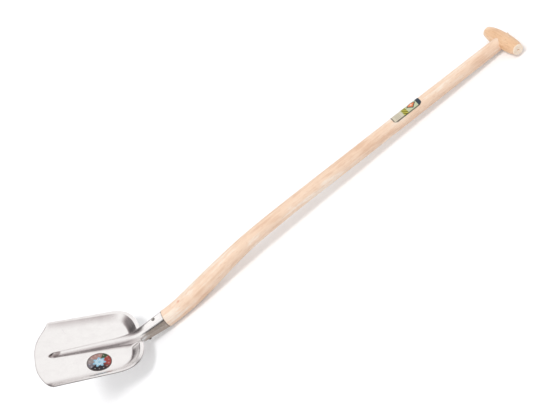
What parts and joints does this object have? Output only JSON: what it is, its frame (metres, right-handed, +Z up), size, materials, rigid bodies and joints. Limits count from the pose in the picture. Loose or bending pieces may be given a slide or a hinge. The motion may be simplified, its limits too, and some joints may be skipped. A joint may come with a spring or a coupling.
{
  "type": "spade",
  "caption": "Long-handled spade: a dished steel blade with a raised rib and rolled socket, a bent tapered wooden handle and a turned crossbar grip.",
  "frame": {"origin": "centre of the bounding box, on the level the spade lies on", "axes": "+X along the length from the blade's front edge to the grip, +Y across the blade, +Z up; the spade lies on its back, on the underside of the handle's foot and on the grip, with the pan's open side up"},
  "size_m": [1.3124, 0.2172, 0.1831],
  "materials": {
    "satin_steel": "bright satin, lightly brushed",
    "pale_wood": "smooth sanded beech, thin clear coat",
    "tan_wood": "turned beech, a little darker, thin clear coat",
    "wedge_wood": "sawn hardwood, end grain",
    "nail_steel": "dull drawn wire",
    "blade_print": "printed film",
    "handle_print": "printed film"
  },
  "bodies": {
    "root": {"blade": "satin_steel", "handle": "pale_wood", "grip": "tan_wood", "grip_wedge": "wedge_wood", "socket_nail_top": "nail_steel", "socket_nail_under": "nail_steel", "blade_label": "blade_print", "handle_label": "handle_print"}
  },
  "joints": []
}
